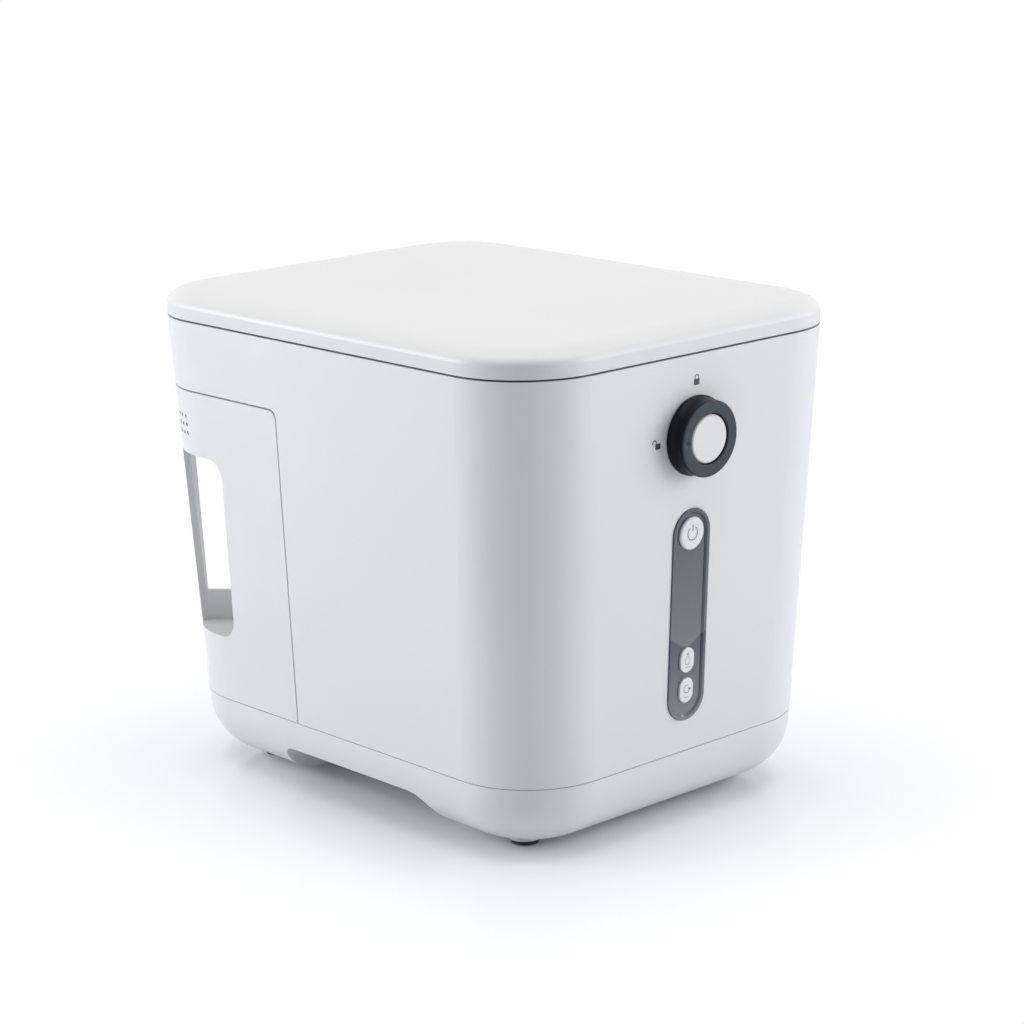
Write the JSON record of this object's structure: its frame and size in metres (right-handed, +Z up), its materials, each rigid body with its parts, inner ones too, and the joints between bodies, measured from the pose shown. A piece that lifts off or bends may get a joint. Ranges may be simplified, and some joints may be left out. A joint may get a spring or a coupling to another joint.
{
  "type": "countertop kitchen waste compactor",
  "caption": "White countertop kitchen-waste compactor: hinged lid with a knob lock, lift-out bucket with geared grinder, side grips and pull-off rear cover.",
  "frame": {"origin": "on the worktop under the middle of the bounding box", "axes": "+Z up, -Y towards the user and the control panel, +X to the user's right"},
  "size_m": [0.27, 0.358, 0.2953],
  "materials": {
    "white_shell": "fine satin texture",
    "grey_liner": "satin",
    "black_rubber": "matte",
    "silicone": "matte",
    "zinc_steel": "zinc plated",
    "steel_pin": "ground",
    "knob_grey": "satin slate",
    "control_white": "satin",
    "panel_slate": "gloss",
    "acetal": "satin",
    "black_moulding": "matte",
    "cast_aluminium": "cast",
    "coated_bucket": "non-stick coating",
    "blade_steel": "satin",
    "bronze": "sintered",
    "pinion_brass": "machined",
    "motor_steel": "pressed",
    "charcoal": "granular",
    "circuit_green": "solder resist"
  },
  "bodies": {
    "housing": {"body_shell": "white_shell", "base_pan": "white_shell", "deck": "grey_liner", "rubber_feet": "black_rubber", "bail_grip": "black_rubber", "cassette_gasket": "silicone", "base_screws": "zinc_steel", "deck_screws": "zinc_steel", "gearbox_screws": "zinc_steel", "rear_bulkhead": "zinc_steel", "floor_frame": "zinc_steel", "detent_spring": "zinc_steel", "inlet_bracket": "zinc_steel", "heat_shield": "zinc_steel", "hinge_pins": "steel_pin", "countershaft_axle": "steel_pin", "bail_handle": "steel_pin", "panel_bezel": "panel_slate", "knob_bush": "acetal", "gearbox_housing": "black_moulding", "gearbox_cover": "black_moulding", "blower_housing": "black_moulding", "air_duct": "black_moulding", "filter_cassette": "black_moulding", "power_inlet": "black_moulding", "fan_motor": "black_moulding", "board_parts": "black_moulding", "tact_switches": "black_moulding", "heater_pot": "cast_aluminium", "heater_ring": "cast_aluminium", "bucket": "coated_bucket", "fixed_blades": "blade_steel", "bucket_bush": "bronze", "shaft_bushes": "bronze", "thermal_fuse": "pinion_brass", "motor_can": "motor_steel", "charcoal_filters": "charcoal", "main_board": "circuit_green", "control_board": "circuit_green"},
    "lid": {"lid_cover": "white_shell", "lid_liner": "grey_liner", "lid_screws": "zinc_steel", "lid_gasket": "silicone", "lid_keeper": "zinc_steel"},
    "lock_knob": {"knob_ring": "knob_grey", "knob_cap": "control_white", "knob_shaft": "steel_pin", "latch_arm": "zinc_steel"},
    "power_key": {"power_button": "control_white"},
    "mode_key": {"mode_button": "control_white"},
    "clean_key": {"clean_button": "control_white"},
    "cover": {"rear_cover": "white_shell"},
    "grinder": {"output_gear": "acetal", "drive_shaft": "steel_pin", "stirrer_shaft": "steel_pin", "stirrer_blade": "blade_steel"},
    "countershaft": {"intermediate_gear": "acetal"},
    "motor": {"motor_pinion": "pinion_brass", "motor_rotor": "steel_pin"},
    "fan": {"fan_rotor": "acetal"}
  },
  "joints": [
    {"name": "lid_hinge", "type": "hinge", "parent": "housing", "child": "lid", "pos_m": [0, 0.17448, 0.28], "axis": [-1, 0, 0], "range_deg": [0, 95]},
    {"name": "knob_turn", "type": "hinge", "parent": "housing", "child": "lock_knob", "pos_m": [0, -0.16597, 0.2331], "axis": [0, 0.9988, 0.0479], "range_deg": [0, 90]},
    {"name": "power_press", "type": "slide", "parent": "housing", "child": "power_key", "axis": [0, 0.9988, 0.0479], "range_m": [0, 0.001], "stiffness_N_per_m": 1500},
    {"name": "mode_press", "type": "slide", "parent": "housing", "child": "mode_key", "axis": [0, 0.9988, 0.0479], "range_m": [0, 0.001], "stiffness_N_per_m": 1500},
    {"name": "clean_press", "type": "slide", "parent": "housing", "child": "clean_key", "axis": [0, 0.9988, 0.0479], "range_m": [0, 0.001], "stiffness_N_per_m": 1500},
    {"name": "cover_pull", "type": "slide", "parent": "housing", "child": "cover", "axis": [0, 1, 0], "range_m": [0, 0.142]},
    {"name": "grinder_spin", "type": "hinge", "parent": "housing", "child": "grinder", "pos_m": [0, -0.04787, 0.06], "axis": [0, 0, 1], "continuous": true},
    {"name": "countershaft_spin", "type": "hinge", "parent": "housing", "child": "countershaft", "pos_m": [0, 0.01963, 0.06], "axis": [0, 0, 1], "continuous": true},
    {"name": "motor_spin", "type": "hinge", "parent": "housing", "child": "motor", "pos_m": [0, 0.07963, 0.06], "axis": [0, 0, 1], "continuous": true},
    {"name": "fan_spin", "type": "hinge", "parent": "housing", "child": "fan", "pos_m": [0, 0.08213, 0.196], "axis": [0, 1, 0], "continuous": true}
  ],
  "couplings": [
    {"joint": "countershaft_spin", "follows": "grinder_spin", "ratio": -4},
    {"joint": "motor_spin", "follows": "grinder_spin", "ratio": 28}
  ]
}
